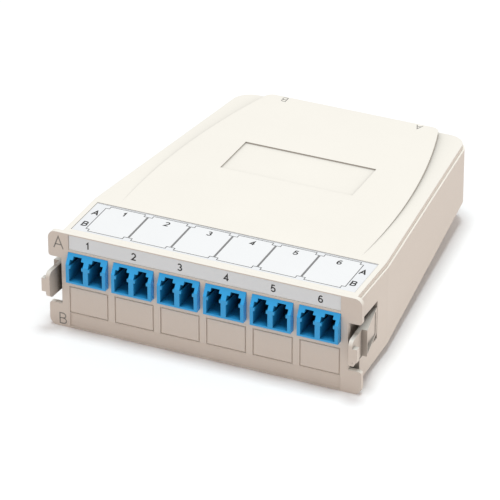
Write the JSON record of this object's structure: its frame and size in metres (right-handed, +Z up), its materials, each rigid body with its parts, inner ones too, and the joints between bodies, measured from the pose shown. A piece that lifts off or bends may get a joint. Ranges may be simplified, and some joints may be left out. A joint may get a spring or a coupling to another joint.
{
  "type": "fibre cassette",
  "caption": "Slide-in fibre patch cassette with a row of duplex LC adapters in front, an MPO adapter behind, printed label strips and a sprung latch at each end.",
  "frame": {"origin": "middle of the front panel's lower front edge", "axes": "+X across the front to the right as seen from the front, +Y to the back, +Z up"},
  "size_m": [0.1016, 0.1259, 0.032],
  "materials": {
    "housing": "satin",
    "cover": "satin",
    "latch": "satin",
    "adapter": "satin",
    "ceramic": "polished",
    "plug": "satin",
    "plug_boot": "matt",
    "rear_adapter": "satin",
    "rear_plug": "satin",
    "rear_boot": "matt",
    "fanout": "matt",
    "cord": "satin",
    "front_label": "matt",
    "top_label": "matt",
    "screw": "satin",
    "fibre_blue": "satin",
    "fibre_orange": "satin",
    "fibre_green": "satin",
    "fibre_brown": "satin",
    "fibre_slate": "satin",
    "fibre_white": "satin",
    "fibre_red": "satin",
    "fibre_black": "satin",
    "fibre_yellow": "satin",
    "fibre_violet": "satin",
    "fibre_rose": "satin",
    "fibre_aqua": "satin"
  },
  "bodies": {
    "cassette": {"base_shell": "housing", "top_cover": "cover", "lc_adapter_1": "adapter", "lc_adapter_2": "adapter", "lc_adapter_3": "adapter", "lc_adapter_4": "adapter", "lc_adapter_5": "adapter", "lc_adapter_6": "adapter", "split_sleeves_1": "ceramic", "split_sleeves_2": "ceramic", "split_sleeves_3": "ceramic", "split_sleeves_4": "ceramic", "split_sleeves_5": "ceramic", "split_sleeves_6": "ceramic", "lc_plug_01": "plug", "lc_plug_02": "plug", "lc_plug_03": "plug", "lc_plug_04": "plug", "lc_plug_05": "plug", "lc_plug_06": "plug", "lc_plug_07": "plug", "lc_plug_08": "plug", "lc_plug_09": "plug", "lc_plug_10": "plug", "lc_plug_11": "plug", "lc_plug_12": "plug", "lc_ferrules": "ceramic", "lc_boots": "plug_boot", "buffered_fibre_01": "fibre_blue", "buffered_fibre_02": "fibre_orange", "buffered_fibre_03": "fibre_green", "buffered_fibre_04": "fibre_brown", "buffered_fibre_05": "fibre_slate", "buffered_fibre_06": "fibre_white", "buffered_fibre_07": "fibre_red", "buffered_fibre_08": "fibre_black", "buffered_fibre_09": "fibre_yellow", "buffered_fibre_10": "fibre_violet", "buffered_fibre_11": "fibre_rose", "buffered_fibre_12": "fibre_aqua", "fanout_block": "fanout", "fanout_cord": "cord", "mpo_adapter": "rear_adapter", "mpo_plug": "rear_plug", "mpo_ferrule": "fanout", "mpo_boot": "rear_boot", "front_label": "front_label", "top_label": "top_label", "cover_screws": "screw"},
    "left_arm": {"latch_left": "latch"},
    "right_arm": {"latch_right": "latch"}
  },
  "joints": [
    {"name": "latch_left_hinge", "type": "hinge", "parent": "cassette", "child": "left_arm", "pos_m": [-0.04515, 0.0186, 0.0156], "axis": [0, 0, 1], "range_deg": [0, 4.5], "stiffness_Nm_per_rad": 0.05},
    {"name": "latch_right_hinge", "type": "hinge", "parent": "cassette", "child": "right_arm", "pos_m": [0.04515, 0.0186, 0.0156], "axis": [0, 0, -1], "range_deg": [0, 4.5], "stiffness_Nm_per_rad": 0.05}
  ]
}
